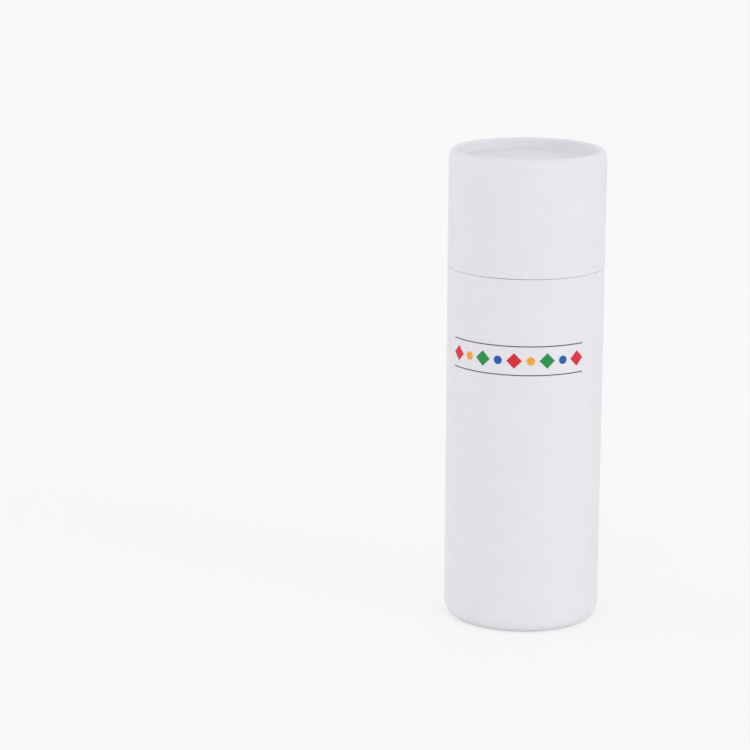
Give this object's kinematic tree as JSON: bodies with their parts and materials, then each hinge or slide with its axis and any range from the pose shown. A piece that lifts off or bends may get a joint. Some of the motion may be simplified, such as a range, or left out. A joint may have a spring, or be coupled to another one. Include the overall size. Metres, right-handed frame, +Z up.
{
  "type": "cylindrical gift box",
  "caption": "Tall round gift box of rolled-edge paper tube, white outside, with a lift-off lid over an ivory inner neck.",
  "frame": {"origin": "centre of the ring that the box stands on, at table level", "axes": "+Z up along the tube's axis, -Y towards the printed front"},
  "size_m": [0.05, 0.0502, 0.1527],
  "materials": {
    "white_paper": "smooth matt coated printing paper, white with a faint cool tint",
    "tube_board": "uncoated cream tube board",
    "ivory_board": "smooth uncoated ivory tube board",
    "disc_card": "white-faced card"
  },
  "bodies": {
    "tube": {"body_tube": "tube_board", "body_wrap": "white_paper", "base_disc": "disc_card", "neck_tube": "ivory_board"},
    "lid": {"lid_tube": "tube_board", "lid_wrap": "white_paper", "lid_disc": "disc_card"}
  },
  "joints": [
    {"name": "lid_lift", "type": "slide", "parent": "tube", "child": "lid", "axis": [0, 0, 1], "range_m": [0, 0.04]}
  ]
}
